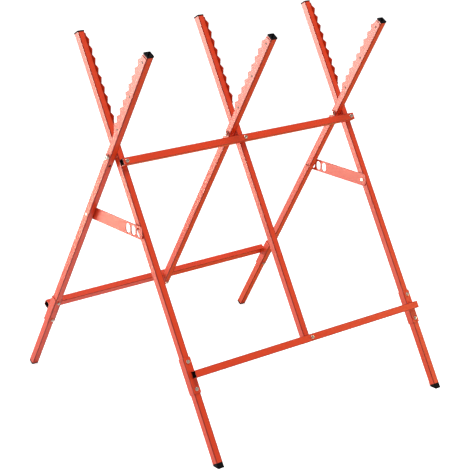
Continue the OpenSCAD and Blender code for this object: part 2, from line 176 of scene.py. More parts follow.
def mix_colour(tree, factor, first, second):
    """Mixes two colours, or the colour from a socket and another colour, by a mask."""
    mix = add_node(tree, "Mix", data_type="RGBA")
    tree.links.new(factor, mix.inputs[MIX_FACTOR])
    for number, colour in ((MIX_FIRST_COLOUR, first), (MIX_SECOND_COLOUR, second)):
        if isinstance(colour, tuple):
            mix.inputs[number].default_value = (*colour, 1)
        else:
            tree.links.new(colour, mix.inputs[number])
    return mix.outputs[MIXED_COLOUR]


def ramp(tree, value, low, high, from_low=0, from_high=1):
    """Maps a value that runs from from_low to from_high to the range from low to high."""
    limits = {"From Min": from_low, "From Max": from_high, "To Min": low, "To Max": high}
    spread = add_node(tree, "MapRange", limits)
    tree.links.new(value, spread.inputs["Value"])
    return spread.outputs["Result"]


def calculate(tree, operation, *values):
    """One step of arithmetic on one or two sockets, such as ABSOLUTE or MAXIMUM."""
    step = add_node(tree, "Math", operation=operation)
    for number, value in enumerate(values):
        tree.links.new(value, step.inputs[number])
    return step.outputs[0]


print("helpers for sums ready")

# %% [markdown]
# The stand was shot on a white sweep. A white surround could come from very strong lamps, but then the paint
# would burn out as well. So the floor and the world show white to the camera, show dimmer in reflections
# (Light Path tells them apart), and light the stand at a plainer level. The floor still darkens where the
# stand shades it.

# %% Floor
FLOOR_SIZE = 40
FLOOR_WHITE = (0.88, 0.88, 0.88)
FLOOR_LIFT = 0.72
MIRRORED_FLOOR_LIFT = 0.2
MATT = 0.9


def by_kind_of_ray(tree, camera_level, mirror_level, other_level):
    """A strength for rays straight from the camera, one for rays off a mirror-like surface or through glass,
    and one for the rest, which carry the light."""
    path = add_node(tree, "LightPath")
    mirror = calculate(tree, "MAXIMUM", path.outputs["Is Glossy Ray"], path.outputs["Is Transmission Ray"])
    level = ramp(tree, mirror, other_level, mirror_level)
    pick_camera = add_node(tree, "Mix", {"B": camera_level}, data_type="FLOAT")
    tree.links.new(path.outputs["Is Camera Ray"], pick_camera.inputs["Factor"])
    tree.links.new(level, pick_camera.inputs["A"])
    return pick_camera.outputs["Result"]


def matt_finish(name, colour):
    """A material of one colour with no gloss."""
    finish, tree, shader = new_finish(name)
    shader.inputs["Base Color"].default_value = (*colour, 1)
    shader.inputs["Roughness"].default_value = MATT
    shader.inputs["Specular IOR Level"].default_value = 0
    return finish, tree, shader


bpy.ops.object.select_all(action="DESELECT")
bpy.ops.mesh.primitive_plane_add(size=FLOOR_SIZE)
floor = bpy.context.object
floor.name = "floor"
sweep, tree, shader = matt_finish("white_sweep", FLOOR_WHITE)
shader.inputs["Emission Color"].default_value = (1, 1, 1, 1)
floor_level = by_kind_of_ray(tree, FLOOR_LIFT, MIRRORED_FLOOR_LIFT, 0)
tree.links.new(floor_level, shader.inputs["Emission Strength"])
floor.data.materials.append(sweep)
print("floor", FLOOR_SIZE, "m wide")

# %% [markdown]
# An ochre card lies on the sweep, from under the stand to its right. It shows only in reflections, where it
# keeps the undersides of the rear legs and the low rails a deep orange red. The white sweep alone would make
# them milky.

# %% Ochre card
OCHRE = (0.60, 0.38, 0.11)
OCHRE_CARD_SIZE = (2.13, 2.1, 1)
OCHRE_CARD_PLACE = (1.165, 0.15, 0.002)
HIDDEN_FROM = ("camera", "diffuse", "transmission", "shadow")

bpy.ops.mesh.primitive_plane_add(size=1, location=OCHRE_CARD_PLACE)
ochre_card = bpy.context.object
ochre_card.scale = OCHRE_CARD_SIZE
ochre_card.name = "ochre_card"
for kind in HIDDEN_FROM:
    setattr(ochre_card, "visible_" + kind, False)
ochre_card.data.materials.append(matt_finish("ochre_card", OCHRE)[0])
print("ochre card", OCHRE_CARD_SIZE[:2], "m")

# %% [markdown]
# The world is the rest of the white room. Its light comes from everywhere and fills the shadows, so it is
# kept well below the lamps.

# %% Surround
SURROUND_LIGHT = 0.38
MIRRORED_SURROUND = 0.25

world = scene.world or bpy.data.worlds.new("surround")
scene.world = world
world.use_nodes = True
background = world.node_tree.nodes["Background"]
background.inputs["Color"].default_value = (1, 1, 1, 1)
world_level = by_kind_of_ray(world.node_tree, 1, MIRRORED_SURROUND, SURROUND_LIGHT)
world.node_tree.links.new(world_level, background.inputs["Strength"])
print("surround light", SURROUND_LIGHT)

# %% [markdown]
# A warm bright card stands far behind the stand, to its left. It mirrors in every face that looks left,
# which gives those faces their pale pink sheen, strongest at the top. It is kept out of the plain, scattered
# light, because it would burn out the backs of the legs. A weaker fill beside it lights the same faces
# plainly. Both come from behind, so the teeth of the front arms stay dark in the shade of their own tubes. A
# weak panel the colour of sand lies on the sweep between that card and the stand and carries the sheen down
# the legs. A soft box high above lights the front faces, and a yellow card at the right makes the right legs
# a little more orange. Area lamps are used because their edges are soft.

# %% Lamps
WHITE_LIGHT = (1, 1, 1)
WARM_LIGHT = (1, 0.96, 0.87)
SAND_LIGHT = (1, 0.86, 0.60)
YELLOW_LIGHT = (1, 0.80, 0.38)
PANEL_HEADING = math.radians(124)
PANEL_FACING_UP = (math.pi, 0, PANEL_HEADING)


def area_lamp(name, place, turn, size, power, colour=WHITE_LIGHT):
    """A rectangular lamp; size is its width and height, and it shines along its own -z."""
    lamp_data = bpy.data.lights.new(name, "AREA")
    lamp_data.shape = "RECTANGLE"
    lamp_data.size, lamp_data.size_y = size
    lamp_data.energy = power
    lamp_data.color = colour
    lamp_data.cycles.use_multiple_importance_sampling = False
    lamp = bpy.data.objects.new(name, lamp_data)
    lamp.location = place
    lamp.rotation_euler = turn
    lamp.visible_camera = False
    scene.collection.objects.link(lamp)
    print(name, power, "W")
    return lamp


def soft_box(name, place, aim, size, power, colour=WHITE_LIGHT):
    """A lamp that faces the point it is aimed at."""
    turn = (Vector(aim) - Vector(place)).to_track_quat("-Z", "Y").to_euler()
    return area_lamp(name, place, turn, size, power, colour)


area_lamp("low_panel", place=(-1.5, 1.7, 0.02), turn=PANEL_FACING_UP, size=(1.6, 1.0), power=20,
          colour=SAND_LIGHT)
sheen_card = soft_box("card_back_left", place=(-6.3, 4.95, 0.6), aim=(0, 0, 0.6), size=(2.2, 1.1), power=980,
                      colour=WARM_LIGHT)
sheen_card.visible_diffuse = False
fill_card = soft_box("fill_left", place=(-4.6, 3.2, 0.4), aim=(0, 0, 0.45), size=(2.2, 1.4), power=180)
fill_card.visible_glossy = False
soft_box("soft_box_top", place=(0.3, -1.6, 7.9), aim=(0, 0, 0.5), size=(3.2, 3.2), power=375)
soft_box("card_right", place=(4.4, -2.9, 1.3), aim=(0.3, 0, 0.3), size=(1.6, 1.4), power=36,
         colour=YELLOW_LIGHT)

# %% [markdown]
# Nothing made of sheet steel or moulded plastic has a perfectly sharp edge. A Bevel node looks at the faces
# close to a point and rounds its normal there, so an edge catches the light as a thin line. The same node
# tells where the edges are, because there the rounded normal turns away from the face's own. Both come out
# of one group.

# %% Group: rounded edge
BEVEL_SAMPLES = 8
EDGE_START, EDGE_FULL = 0.995, 0.88

rounded_edge, entry, way_out = new_group(
    "rounded edge", {"Radius": 0.6 * MM}, {"Normal": "NodeSocketVector", "Edge": "NodeSocketFloat"})
bevel = add_node(rounded_edge, "Bevel", samples=BEVEL_SAMPLES)
rounded_edge.links.new(entry.outputs["Radius"], bevel.inputs["Radius"])
face = add_node(rounded_edge, "NewGeometry")
alike = add_node(rounded_edge, "VectorMath", operation="DOT_PRODUCT")
rounded_edge.links.new(bevel.outputs["Normal"], alike.inputs[0])
rounded_edge.links.new(face.outputs["Normal"], alike.inputs[1])
edge_mask = ramp(rounded_edge, alike.outputs["Value"], 0, 1, EDGE_START, EDGE_FULL)
rounded_edge.links.new(bevel.outputs["Normal"], way_out.inputs["Normal"])
rounded_edge.links.new(edge_mask, way_out.inputs["Edge"])
print("group:", rounded_edge.name, "with", len(rounded_edge.nodes), "nodes")

# %% [markdown]
# A finish that was sprayed, plated or moulded is never quite even. One group gives three patterns from noise
# on the piece's own coordinates: a fine one that raises and lowers the skin, such as the orange peel of
# powder coat, a slow drift over the length of a tube, and patches of more and less gloss.

# %% Group: uneven skin
NOISE_ROUGHNESS = 0.55
NOISE_LOW, NOISE_HIGH = 0.3, 0.7

uneven_skin, entry, way_out = new_group(
    "uneven skin", {"Fine Scale": 380.0, "Patch Scale": 45.0, "Drift Scale": 6.0},
    {"Height": "NodeSocketFloat", "Patches": "NodeSocketFloat", "Drift": "NodeSocketFloat"})
spot = add_node(uneven_skin, "TexCoord").outputs["Object"]
for scale_name, detail, output_name in (("Fine Scale", 2, "Height"), ("Patch Scale", 2, "Patches"),
                                        ("Drift Scale", 3, "Drift")):
    noise = add_node(uneven_skin, "TexNoise", {"Detail": detail, "Roughness": NOISE_ROUGHNESS})
    uneven_skin.links.new(spot, noise.inputs["Vector"])
    uneven_skin.links.new(entry.outputs[scale_name], noise.inputs["Scale"])
    pattern = noise.outputs[0]
    if output_name != "Height":
        pattern = ramp(uneven_skin, pattern, 0, 1, NOISE_LOW, NOISE_HIGH)
    uneven_skin.links.new(pattern, way_out.inputs[output_name])


def raise_skin(tree, shader, skin, edge, strength, depth):
    """Lets the fine pattern of a skin raise and lower a surface whose edges are rounded."""
    bump = add_node(tree, "Bump", {"Strength": strength, "Distance": depth})
    tree.links.new(skin.outputs["Height"], bump.inputs["Height"])
    tree.links.new(edge.outputs["Normal"], bump.inputs["Normal"])
    tree.links.new(bump.outputs["Normal"], shader.inputs["Normal"])


print("group:", uneven_skin.name, "with", len(uneven_skin.nodes), "nodes")

# %% [markdown]
# Powder coat is sprayed from outside, so it does not reach into a tube, and the inside of a tube lies in
# shade: the open ends of the rails look into bare steel, painted dark here as painted shade. The mask below
# is 1 inside the tube. It needs the tube's own frame, so a Mapping node carries the coordinates there, and
# then the larger of the two distances from the tube's axis says which side of the wall a point is on. The
# smaller one tells how close the point is to a corner, which gives a band along the corners for their
# painted shade.

# %% Group: tube bore
BORE_HALF = TUBE_W / 2 - TUBE_WALL
BORE_SIDE, WALL_SIDE = BORE_HALF + 0.1 * MM, BORE_HALF + 0.35 * MM
# Painted shade: the band carries the corners' dark red on to the front and back faces of a leg.
BAND_START, BAND_FULL = TUBE_W / 2 - 4 * MM, TUBE_W / 2 - 2.2 * MM

tube_bore, entry, way_out = new_group(
    "tube bore", {"Place": (0.0, 0.0, 0.0), "Turn": (0.0, 0.0, 0.0)},
    {"Bore": "NodeSocketFloat", "Band": "NodeSocketFloat"})
into_tube = add_node(tube_bore, "Mapping", vector_type="TEXTURE")
tube_bore.links.new(add_node(tube_bore, "TexCoord").outputs["Object"], into_tube.inputs["Vector"])
tube_bore.links.new(entry.outputs["Place"], into_tube.inputs["Location"])
tube_bore.links.new(entry.outputs["Turn"], into_tube.inputs["Rotation"])
axes = add_node(tube_bore, "SeparateXYZ")
tube_bore.links.new(into_tube.outputs[0], axes.inputs[0])
off_axis = [calculate(tube_bore, "ABSOLUTE", axes.outputs[axis]) for axis in ("Y", "Z")]
further = calculate(tube_bore, "MAXIMUM", *off_axis)
nearer = calculate(tube_bore, "MINIMUM", *off_axis)
tube_bore.links.new(ramp(tube_bore, further, 1, 0, BORE_SIDE, WALL_SIDE), way_out.inputs["Bore"])
tube_bore.links.new(ramp(tube_bore, nearer, 0, 1, BAND_START, BAND_FULL), way_out.inputs["Band"])
print("group:", tube_bore.name, "with", len(tube_bore.nodes), "nodes")

# %% [markdown]
# The long corners of a square tube look like fine dark lines, because the round corner turns its gloss
# towards the dark side of the room, and the powder flows away there while it melts. Here those lines are
# painted shade: the coat's colour is darkened along the corners by the mask below. In the tube's own frame a
# flat side's normal lies along one axis, and on the round corner it lies between two. So the mask takes the
# normal into that frame and asks how large its largest part still is.

# %% Group: tube corner
CORNER_START, CORNER_FULL = 0.995, 0.85

painted_corner_shade, entry, way_out = new_group(
    "tube corner", {"Turn": (0.0, 0.0, 0.0)}, {"Corner": "NodeSocketFloat"})
into_tube = add_node(painted_corner_shade, "Mapping", vector_type="VECTOR")
painted_corner_shade.links.new(add_node(painted_corner_shade, "TexCoord").outputs["Normal"], into_tube.inputs["Vector"])
painted_corner_shade.links.new(entry.outputs["Turn"], into_tube.inputs["Rotation"])
axes = add_node(painted_corner_shade, "SeparateXYZ")
painted_corner_shade.links.new(into_tube.outputs[0], axes.inputs[0])
parts = [calculate(painted_corner_shade, "ABSOLUTE", axes.outputs[axis]) for axis in ("X", "Y", "Z")]
largest = calculate(painted_corner_shade, "MAXIMUM", calculate(painted_corner_shade, "MAXIMUM", *parts[:2]), parts[2])
corner_shade_mask = ramp(painted_corner_shade, largest, 0, 1, CORNER_START, CORNER_FULL)
painted_corner_shade.links.new(corner_shade_mask, way_out.inputs["Corner"])
print("group:", painted_corner_shade.name, "with", len(painted_corner_shade.nodes), "nodes")

# %% [markdown]
# The red is a glossy powder coat. Its colour drifts a little from place to place, and its skin has a fine
# orange peel. Along sharp edges the powder pulls back while it melts, so the coat is thinner and darker
# there, and that darker edge is also painted shade for the dark lines that edges and gaps show. On a flat
# plate the whole sheared edge takes the dark corner red as painted shade; it is told by its normal: a
# plate's broad faces look along x, the way the rails run, and its edges do not. The tubes use the same coat
# with the painted shade of their corners and of their bare bore mixed in by their masks.

# %% Finish: red powder coat
RED_BRIGHT = (0.78, 0.052, 0.007)
RED_DEEP = (0.72, 0.044, 0.006)
# Partly painted shade: the darker red along sharp edges and sleeve edges, besides a thinner coat.
RED_THIN_COAT_AND_SHADE = (0.34, 0.017, 0.005)
# Painted shade: the dark red along tube corners and along the sheared edges of plates.
RED_CORNER_SHADE = (0.24, 0.007, 0.002)
# Painted shade: the dark maroon inside the tubes, on their bare steel.
BORE_SHADE = (0.030, 0.010, 0.010)
COAT_SPECULAR = 0.54
COAT_SKIN = {"Fine Scale": 420.0, "Patch Scale": 14.0, "Drift Scale": 7.0}
COAT_EDGE = 0.7 * MM
COAT_EDGE_SHARE = 0.5
COAT_SMOOTH, COAT_ROUGH, CORNER_ROUGH = 0.34, 0.36, 0.4
PEEL_STRENGTH = 0.04
PEEL_DEPTH = 0.03 * MM
SHEARED_SHARE = 0.75
SHEARED_FULL, SHEARED_NONE = 0.3, 0.9


# Painted shade: this mask darkens the sheared edges of plates, and with the bore's band the faces beside a
# tube's corners.
def sheared_edge(tree):
    """A mask of the faces that do not look along x, which are the sheared edges of a plate."""
    axes = add_node(tree, "SeparateXYZ")
    tree.links.new(add_node(tree, "TexCoord").outputs["Normal"], axes.inputs[0])
    along_x = calculate(tree, "ABSOLUTE", axes.outputs["X"])
    return ramp(tree, along_x, SHEARED_SHARE, 0, SHEARED_FULL, SHEARED_NONE)


def red_coat(name, lean=None, bore=None, edge_width=COAT_EDGE, edge_share=COAT_EDGE_SHARE, band=False):
    """The powder coat of a plate, or of a tube. lean is the tube's lean, which tells where its corners are,
    whose dark red is painted shade. bore is the place and turn of a frame whose x axis runs along a tube
    that is bare inside, painted dark there as painted shade. Along sharp edges a band of edge_width shows
    the thin coat's darker colour, partly painted shade, by edge_share at most. With band, the painted
    shade of the corners of a tube that has a bore reaches on to its front and back."""
    finish, tree, shader = new_finish(name)
    shader.inputs["Specular IOR Level"].default_value = COAT_SPECULAR
    skin = use_group(tree, uneven_skin, COAT_SKIN)
    edge = use_group(tree, rounded_edge, {"Radius": edge_width})
    colour = mix_colour(tree, skin.outputs["Drift"], RED_BRIGHT, RED_DEEP)
    # Partly painted shade: sharp edges turn darker, besides the thinner coat.
    colour = mix_colour(tree, ramp(tree, edge.outputs["Edge"], 0, edge_share), colour, RED_THIN_COAT_AND_SHADE)
    if lean is None:
        corner = sheared_edge(tree)
    else:
        corner = use_group(tree, painted_corner_shade, {"Turn": (lean, 0.0, 0.0)}).outputs["Corner"]
    if bore:
        place, turn = bore
        tube = use_group(tree, tube_bore, {"Place": place, "Turn": turn})
    # Painted shade: the corners' dark band reaches on to the leg's front and back.
    if band:
        on_front = calculate(tree, "MULTIPLY", tube.outputs["Band"], sheared_edge(tree))
        corner = calculate(tree, "MAXIMUM", corner, on_front)
    # Painted shade: corners and sheared edges take the dark corner red.
    colour = mix_colour(tree, corner, colour, RED_CORNER_SHADE)
    if bore:
        # Painted shade inside the bore, also on the ends of the catch pins that reach into it.
        colour = mix_colour(tree, tube.outputs["Bore"], colour, BORE_SHADE)
    tree.links.new(colour, shader.inputs["Base Color"])
    gloss = ramp(tree, skin.outputs["Patches"], COAT_SMOOTH, COAT_ROUGH)
    gloss = calculate(tree, "MAXIMUM", gloss, ramp(tree, corner, 0, CORNER_ROUGH))
    tree.links.new(gloss, shader.inputs["Roughness"])
    raise_skin(tree, shader, skin, edge, PEEL_STRENGTH, PEEL_DEPTH)
    return finish


flat_coat = red_coat("red_coat_flat")
print("finish:", flat_coat.name)

# %% [markdown]
# Each tube lies differently in the stand, so each rail and each leg gets a red coat of its own, made for its
# bore. A foot tube goes on where its leg ends, on the same axis, and shares the leg's coat. A catch pin is
# painted with the leg it sits in. Sleeves are bent from sheet; their coat is thin and darker over a wider
# edge, and that dark edge is also painted shade for the shadowed gap between sleeve and tube.

# %% Red coats for tubes, sleeves and plates
# Partly painted shade: the sleeves' wider dark edge stands in for the shadowed gap along them.
SLEEVE_EDGE = 1.3 * MM
SLEEVE_EDGE_SHARE = 1


def rail_bore(node, lean):
    """The bore's frame of a rail: the middle of the node's box lies on its axis."""
    low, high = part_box(node)
    return tuple((low + high) / 2), (-lean, 0.0, 0.0)


def leg_bore(side, place):
    """The bore's frame of a leg: the leg's own frame, turned so that x runs along the tube."""
    along_leg = leg_frame(side, place) @ Matrix.Rotation(math.radians(90), 4, "Y")
    return tuple(along_leg.translation), tuple(along_leg.to_euler())


side_lean = {"front": LEAN, "rear": -LEAN}
sleeve_coats = {side_name: red_coat("red_coat_" + side_name, lean, None, SLEEVE_EDGE, SLEEVE_EDGE_SHARE)
                for side_name, lean in side_lean.items()}
red_coats = {"spreader_left": flat_coat, "spreader_right": flat_coat}
for rail, lean in (("top_rail", LEAN), ("front_low_rail", LEAN), ("rear_low_rail", -LEAN)):
    red_coats[rail] = red_coat("red_coat_" + rail, lean, rail_bore(rail, lean))
for side_name, side in SIDES.items():
    for place_name, place in PLACES.items():
        bore = leg_bore(side, place)
        coat = red_coat(f"red_coat_{side_name}_{place_name}", side_lean[side_name], bore, band=True)
        red_coats[f"{side_name}_leg_{place_name}"] = coat
        red_coats[f"{side_name}_teeth_{place_name}"] = flat_coat
        if place != CENTRE:
            red_coats[f"{side_name}_foot_tube_{place_name}"] = coat
            red_coats[f"{side_name}_sleeve_{place_name}"] = sleeve_coats[side_name]
# The catch pins share the leg's coat and bore, so their ends inside the leg take its painted shade.
red_coats["front_catch_pin"] = red_coats["front_leg_left"]
red_coats["rear_catch_pin"] = red_coats["rear_leg_right"]
print("red coats:", len({coat.name for coat in red_coats.values()}), "for", len(red_coats), "nodes")

# %% [markdown]
# Bolts, nuts, washers and the spreader bars' rivets are bright zinc plate: a metal with a faint warm tint,
# cloudy patches and slightly rubbed edges. The blind rivets of the toothed plates are dull dark steel
# instead; that dark colour is painted shade for the shadowed spots round their small heads. Both come from
# one function with other colours.

# %% Finish: zinc plate and dark steel
ZINC_BRIGHT, ZINC_DULL, ZINC_RUBBED = (0.84, 0.79, 0.70), (0.68, 0.63, 0.53), (0.90, 0.87, 0.80)
# Painted shade: the rivets' dark steel colours stand in for the shade round their heads.
STEEL_BRIGHT, STEEL_DULL, STEEL_RUBBED = (0.16, 0.14, 0.12), (0.10, 0.085, 0.075), (0.25, 0.22, 0.20)
ZINC_SMOOTH, ZINC_ROUGH = 0.24, 0.34
STEEL_SMOOTH, STEEL_ROUGH = 0.34, 0.50
PRESSED_EDGE = 1.6 * MM
RIVET_EDGE = 0.35 * MM
PLATE_SKIN = {"Fine Scale": 2600.0, "Patch Scale": 420.0, "Drift Scale": 90.0}
RUBBED_SHARE = 0.6
GRAIN_STRENGTH = 0.25
GRAIN_DEPTH = 0.02 * MM


def plated_steel(name, bright, dull, rubbed, smooth, rough, rounding):
    """A metal with cloudy patches, from bright to dull, and edges rounded and rubbed to another colour."""
    finish, tree, shader = new_finish(name)
    shader.inputs["Metallic"].default_value = 1
    skin = use_group(tree, uneven_skin, PLATE_SKIN)
    edge = use_group(tree, rounded_edge, {"Radius": rounding})
    colour = mix_colour(tree, skin.outputs["Drift"], bright, dull)
    colour = mix_colour(tree, ramp(tree, edge.outputs["Edge"], 0, RUBBED_SHARE), colour, rubbed)
    tree.links.new(colour, shader.inputs["Base Color"])
    tree.links.new(ramp(tree, skin.outputs["Patches"], smooth, rough), shader.inputs["Roughness"])
    raise_skin(tree, shader, skin, edge, GRAIN_STRENGTH, GRAIN_DEPTH)
    return finish


zinc = plated_steel("zinc_plate", ZINC_BRIGHT, ZINC_DULL, ZINC_RUBBED, ZINC_SMOOTH, ZINC_ROUGH, PRESSED_EDGE)
dark_steel = plated_steel(
    "dark_steel", STEEL_BRIGHT, STEEL_DULL, STEEL_RUBBED, STEEL_SMOOTH, STEEL_ROUGH, RIVET_EDGE)
print("finishes:", zinc.name, dark_steel.name)

# %% [markdown]
# Caps and feet are moulded in black plastic. A spark-eroded mould leaves a fine, even grain, so the surface
# is satin and not glossy, and the edges that get knocked about turn a little greyer.

# %% Finish: black plastic
PLASTIC_BLACK = (0.003, 0.003, 0.005)
PLASTIC_WORN = (0.006, 0.006, 0.008)
PLASTIC_EDGE = (0.016, 0.016, 0.019)
PLASTIC_SPECULAR = 0.07
PLASTIC_SKIN = {"Fine Scale": 3400.0, "Patch Scale": 160.0, "Drift Scale": 30.0}
PLASTIC_SMOOTH, PLASTIC_ROUGH = 0.42, 0.58
KNOCKED_EDGE = 0.4 * MM
KNOCKED_SHARE = 0.5
MOULD_STRENGTH = 0.5
MOULD_DEPTH = 0.04 * MM

plastic, tree, shader = new_finish("black_plastic")
shader.inputs["Specular IOR Level"].default_value = PLASTIC_SPECULAR
skin = use_group(tree, uneven_skin, PLASTIC_SKIN)
edge = use_group(tree, rounded_edge, {"Radius": KNOCKED_EDGE})
colour = mix_colour(tree, skin.outputs["Drift"], PLASTIC_BLACK, PLASTIC_WORN)
colour = mix_colour(tree, ramp(tree, edge.outputs["Edge"], 0, KNOCKED_SHARE), colour, PLASTIC_EDGE)
tree.links.new(colour, shader.inputs["Base Color"])
tree.links.new(ramp(tree, skin.outputs["Patches"], PLASTIC_SMOOTH, PLASTIC_ROUGH), shader.inputs["Roughness"])
raise_skin(tree, shader, skin, edge, MOULD_STRENGTH, MOULD_DEPTH)
print("finish:", plastic.name)

# %% [markdown]
# The frame's record says which finish each node takes, by the name of a material slot. Reading it there
# means that no node is forgotten: each gets the finish of its slot, and each red node gets its own coat.

# %% Give every node its finish
SLOT_FINISH = {"zinc": zinc, "dark_steel": dark_steel, "black_plastic": plastic}


def finish_of(node, slot_name):
    """The finish of a node by its slot, or by its name for red nodes."""
    return red_coats[node] if slot_name == "red_paint" else SLOT_FINISH[slot_name]


for subpart in frame["record"]["subparts"]:
    for slot in nodes[subpart["node"]].material_slots:
        slot.material = finish_of(subpart["node"], subpart["material_slot"])

# %% [markdown]
# The rest of the lesson models small pieces by hand. Operators act on whatever is selected, so a helper
# selects the wanted vertices, edges or faces in code. Another sets copies of a finished model at their
# places on the stand, joins them and applies their place, because a finished piece sits at the origin with
# its place in its mesh.

# %% Helpers for modelling
SMOOTH_ANGLE = math.radians(35)
BODY = {"front": "front_frame", "rear": "rear_frame"}


def pick(piece, kind, wanted):
    """In edit mode, selects only the vertices, edges or faces for which wanted says yes."""
    bpy.ops.mesh.select_mode(type=kind)
    bpy.ops.mesh.select_all(action="DESELECT")
    mesh = bmesh.from_edit_mesh(piece.data)
    for element in {"VERT": mesh.verts, "EDGE": mesh.edges, "FACE": mesh.faces}[kind]:
        if wanted(element):
            element.select_set(True)
    mesh.select_flush_mode()
    bmesh.update_edit_mesh(piece.data)


def finish_shape(name):
    """Closes the work in edit mode: faces outwards, smooth shading across soft edges only."""
    bpy.ops.mesh.select_all(action="SELECT")
    bpy.ops.mesh.normals_make_consistent(inside=False)
    bpy.ops.object.mode_set(mode="OBJECT")
    bpy.ops.object.shade_smooth_by_angle(angle=SMOOTH_ANGLE)
    bpy.context.object.name = name
    return bpy.context.object


def set_copies(model, name, places, body, finish):
    """One piece from a copy of the model at each place, riding on a body, with its finish."""
    bpy.ops.object.select_all(action="DESELECT")
    for place in places:
        copy = model.copy()
        copy.data = model.data.copy()
        scene.collection.objects.link(copy)
        copy.matrix_world = place
        copy.select_set(True)
        bpy.context.view_layer.objects.active = copy
    if len(places) > 1:
        bpy.ops.object.join()
    bpy.ops.object.transform_apply(location=True, rotation=True, scale=True)
    piece = bpy.context.object
    piece.name = piece.data.name = name
    piece.data.materials.clear()
    piece.data.materials.append(finish)
    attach(piece, body)
    return piece


def describe(piece):
    """How many faces a model has and how large it is."""
    size = [round(length / MM, 2) for length in piece.dimensions]
    return f"{piece.name}: {len(piece.data.polygons)} faces, {size} mm"


print("modelling helpers ready")

# %% [markdown]
# A blind rivet is set from one side: a pin is pulled through until it snaps, and its end stays in the hollow
# head as a small disc in a ring-shaped groove. The shape is round, so it grows from a filled circle, the end
# of the pin, whose rim is extruded again and again and scaled to each new radius. A Spin of a drawn outline
# would do as well. Each ring below is a radius and a height above the plate, in millimetres.

# %% Model: blind rivet
RIVET_SIDES = 28
PIN_END = [(0.75, 0.75), (0.88, 0.68)]
GROOVE = [(0.88, 0.30), (1.15, 0.30), (1.15, 1.00)]
HEAD = [(1.28, 1.07), (1.50, 1.09), (1.95, 0.98), (2.45, 0.76), (2.85, 0.48), (3.12, 0.22), (3.24, 0.06),
        (3.20, 0.00)]
SHANK = [(1.60, 0.00), (1.60, -4.60)]
BLIND_END = [(1.85, -5.20), (1.50, -6.30)]


def turned_piece(name, rings, sides):
    """A round closed shape: a disc at the first radius and height, its rim extruded through the others."""
    bpy.ops.object.select_all(action="DESELECT")
    radius, height = rings[0]
    bpy.ops.mesh.primitive_circle_add(vertices=sides, radius=radius * MM, fill_type="TRIFAN",
                                      location=(0, 0, height * MM))
    bpy.ops.object.transform_apply(location=True)
    piece = bpy.context.object
    bpy.ops.object.mode_set(mode="EDIT")
    pick(piece, "EDGE", lambda rim: rim.is_boundary)
    for next_radius, next_height in rings[1:]:
        rise = (next_height - height) * MM
        bpy.ops.mesh.extrude_region_move(TRANSFORM_OT_translate={"value": (0, 0, rise)})
        grow = next_radius / radius
        bpy.ops.transform.resize(value=(grow, grow, 1), center_override=(0, 0, 0))
        radius, height = next_radius, next_height
    bpy.ops.mesh.edge_face_add()
    return finish_shape(name)


rivet_model = turned_piece("rivet_model", PIN_END + GROOVE + HEAD + SHANK + BLIND_END, RIVET_SIDES)
print(describe(rivet_model))

# %% [markdown]
# Three rivets hold each toothed plate. They stand on the plate's outer face, so each copy is turned to point
# along the leg's own x. One piece for the front arms and one for the rear arms replace the plain heads of
# the drawing.

# %% Set the rivets
PLATE_T = 2 * MM
RIVET_HEIGHTS = (321 * MM, 209 * MM, 97 * MM)
ALONG_X = Matrix.Rotation(math.radians(90), 4, "Y")

for side_name, side in SIDES.items():
    places = [leg_frame(side, place) @ Matrix.Translation((TUBE_W / 2 + PLATE_T, 0, height)) @ ALONG_X
              for place in PLACES.values() for height in RIVET_HEIGHTS]
    # Painted shade: the rivets take the dark steel that stands in for the shade round their heads.
    rivets = set_copies(rivet_model, side_name + "_blind_rivets", places, BODY[side_name], dark_steel)
    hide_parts(side_name + "_rivets")
    print(rivets.name, len(places), "rivets")
bpy.data.objects.remove(rivet_model)

# %% [markdown]
# Each bolt sticks a little way out of its nut, and there its thread shows. The drawing has the bolt's end at
# the thread's core, so only the ridge is missing: a small triangle carried round the axis and along it. A
# circle of three corners is the triangle, each corner is moved to its place, and the Screw modifier makes
# the helix.

# %% Model: thread ridges
TIP = 2 * MM
TIP_LEFT_PLAIN = 0.1 * MM
STEPS_PER_TURN = 24
RIDGE_SINK = 0.05 * MM
SMALL_THREAD = {"core": 3.7 * MM, "major": 5 * MM, "pitch": 0.8 * MM}
PIVOT_THREAD = {"core": 6.7 * MM, "major": 8 * MM, "pitch": 1.25 * MM}


def thread_ridge(name, core, major, pitch):
    """The helical ridge of a bolt's free end; z = 0 is the nut's face, and it starts inside the nut."""
    bpy.ops.object.select_all(action="DESELECT")
    bpy.ops.mesh.primitive_circle_add(vertices=3, radius=pitch / 2)
    ridge = bpy.context.object
    root = core / 2 - RIDGE_SINK
    corners = [(root, 0, -pitch), (major / 2, 0, -pitch / 2), (root, 0, 0)]
    bpy.ops.object.mode_set(mode="EDIT")
    for number, corner in enumerate(corners):
        move = Vector(corner) - ridge.data.vertices[number].co
        pick(ridge, "VERT", lambda vertex: vertex.index == number)
        bpy.ops.transform.translate(value=move)
    bpy.ops.object.mode_set(mode="OBJECT")
    turns = (TIP - TIP_LEFT_PLAIN) / pitch
    screw = ridge.modifiers.new("helix", "SCREW")
    screw.angle = turns * 2 * math.pi
    screw.screw_offset = turns * pitch
    screw.steps = screw.render_steps = round(turns * STEPS_PER_TURN)
    bpy.ops.object.modifier_apply(modifier=screw.name)
    bpy.ops.object.mode_set(mode="EDIT")
    bpy.ops.mesh.select_all(action="SELECT")
    bpy.ops.mesh.fill_holes(sides=len(corners))
    return finish_shape(name)


small_ridge = thread_ridge("small_ridge", **SMALL_THREAD)
pivot_ridge = thread_ridge("pivot_ridge", **PIVOT_THREAD)
print(describe(small_ridge))
print(describe(pivot_ridge))

# %% [markdown]
# The ridges go on the ends of all the bolts: those of the rails, sleeves and centre legs point across the
# legs, and the three pivot bolts lie on the line about which the stand folds, with their nuts to the left.

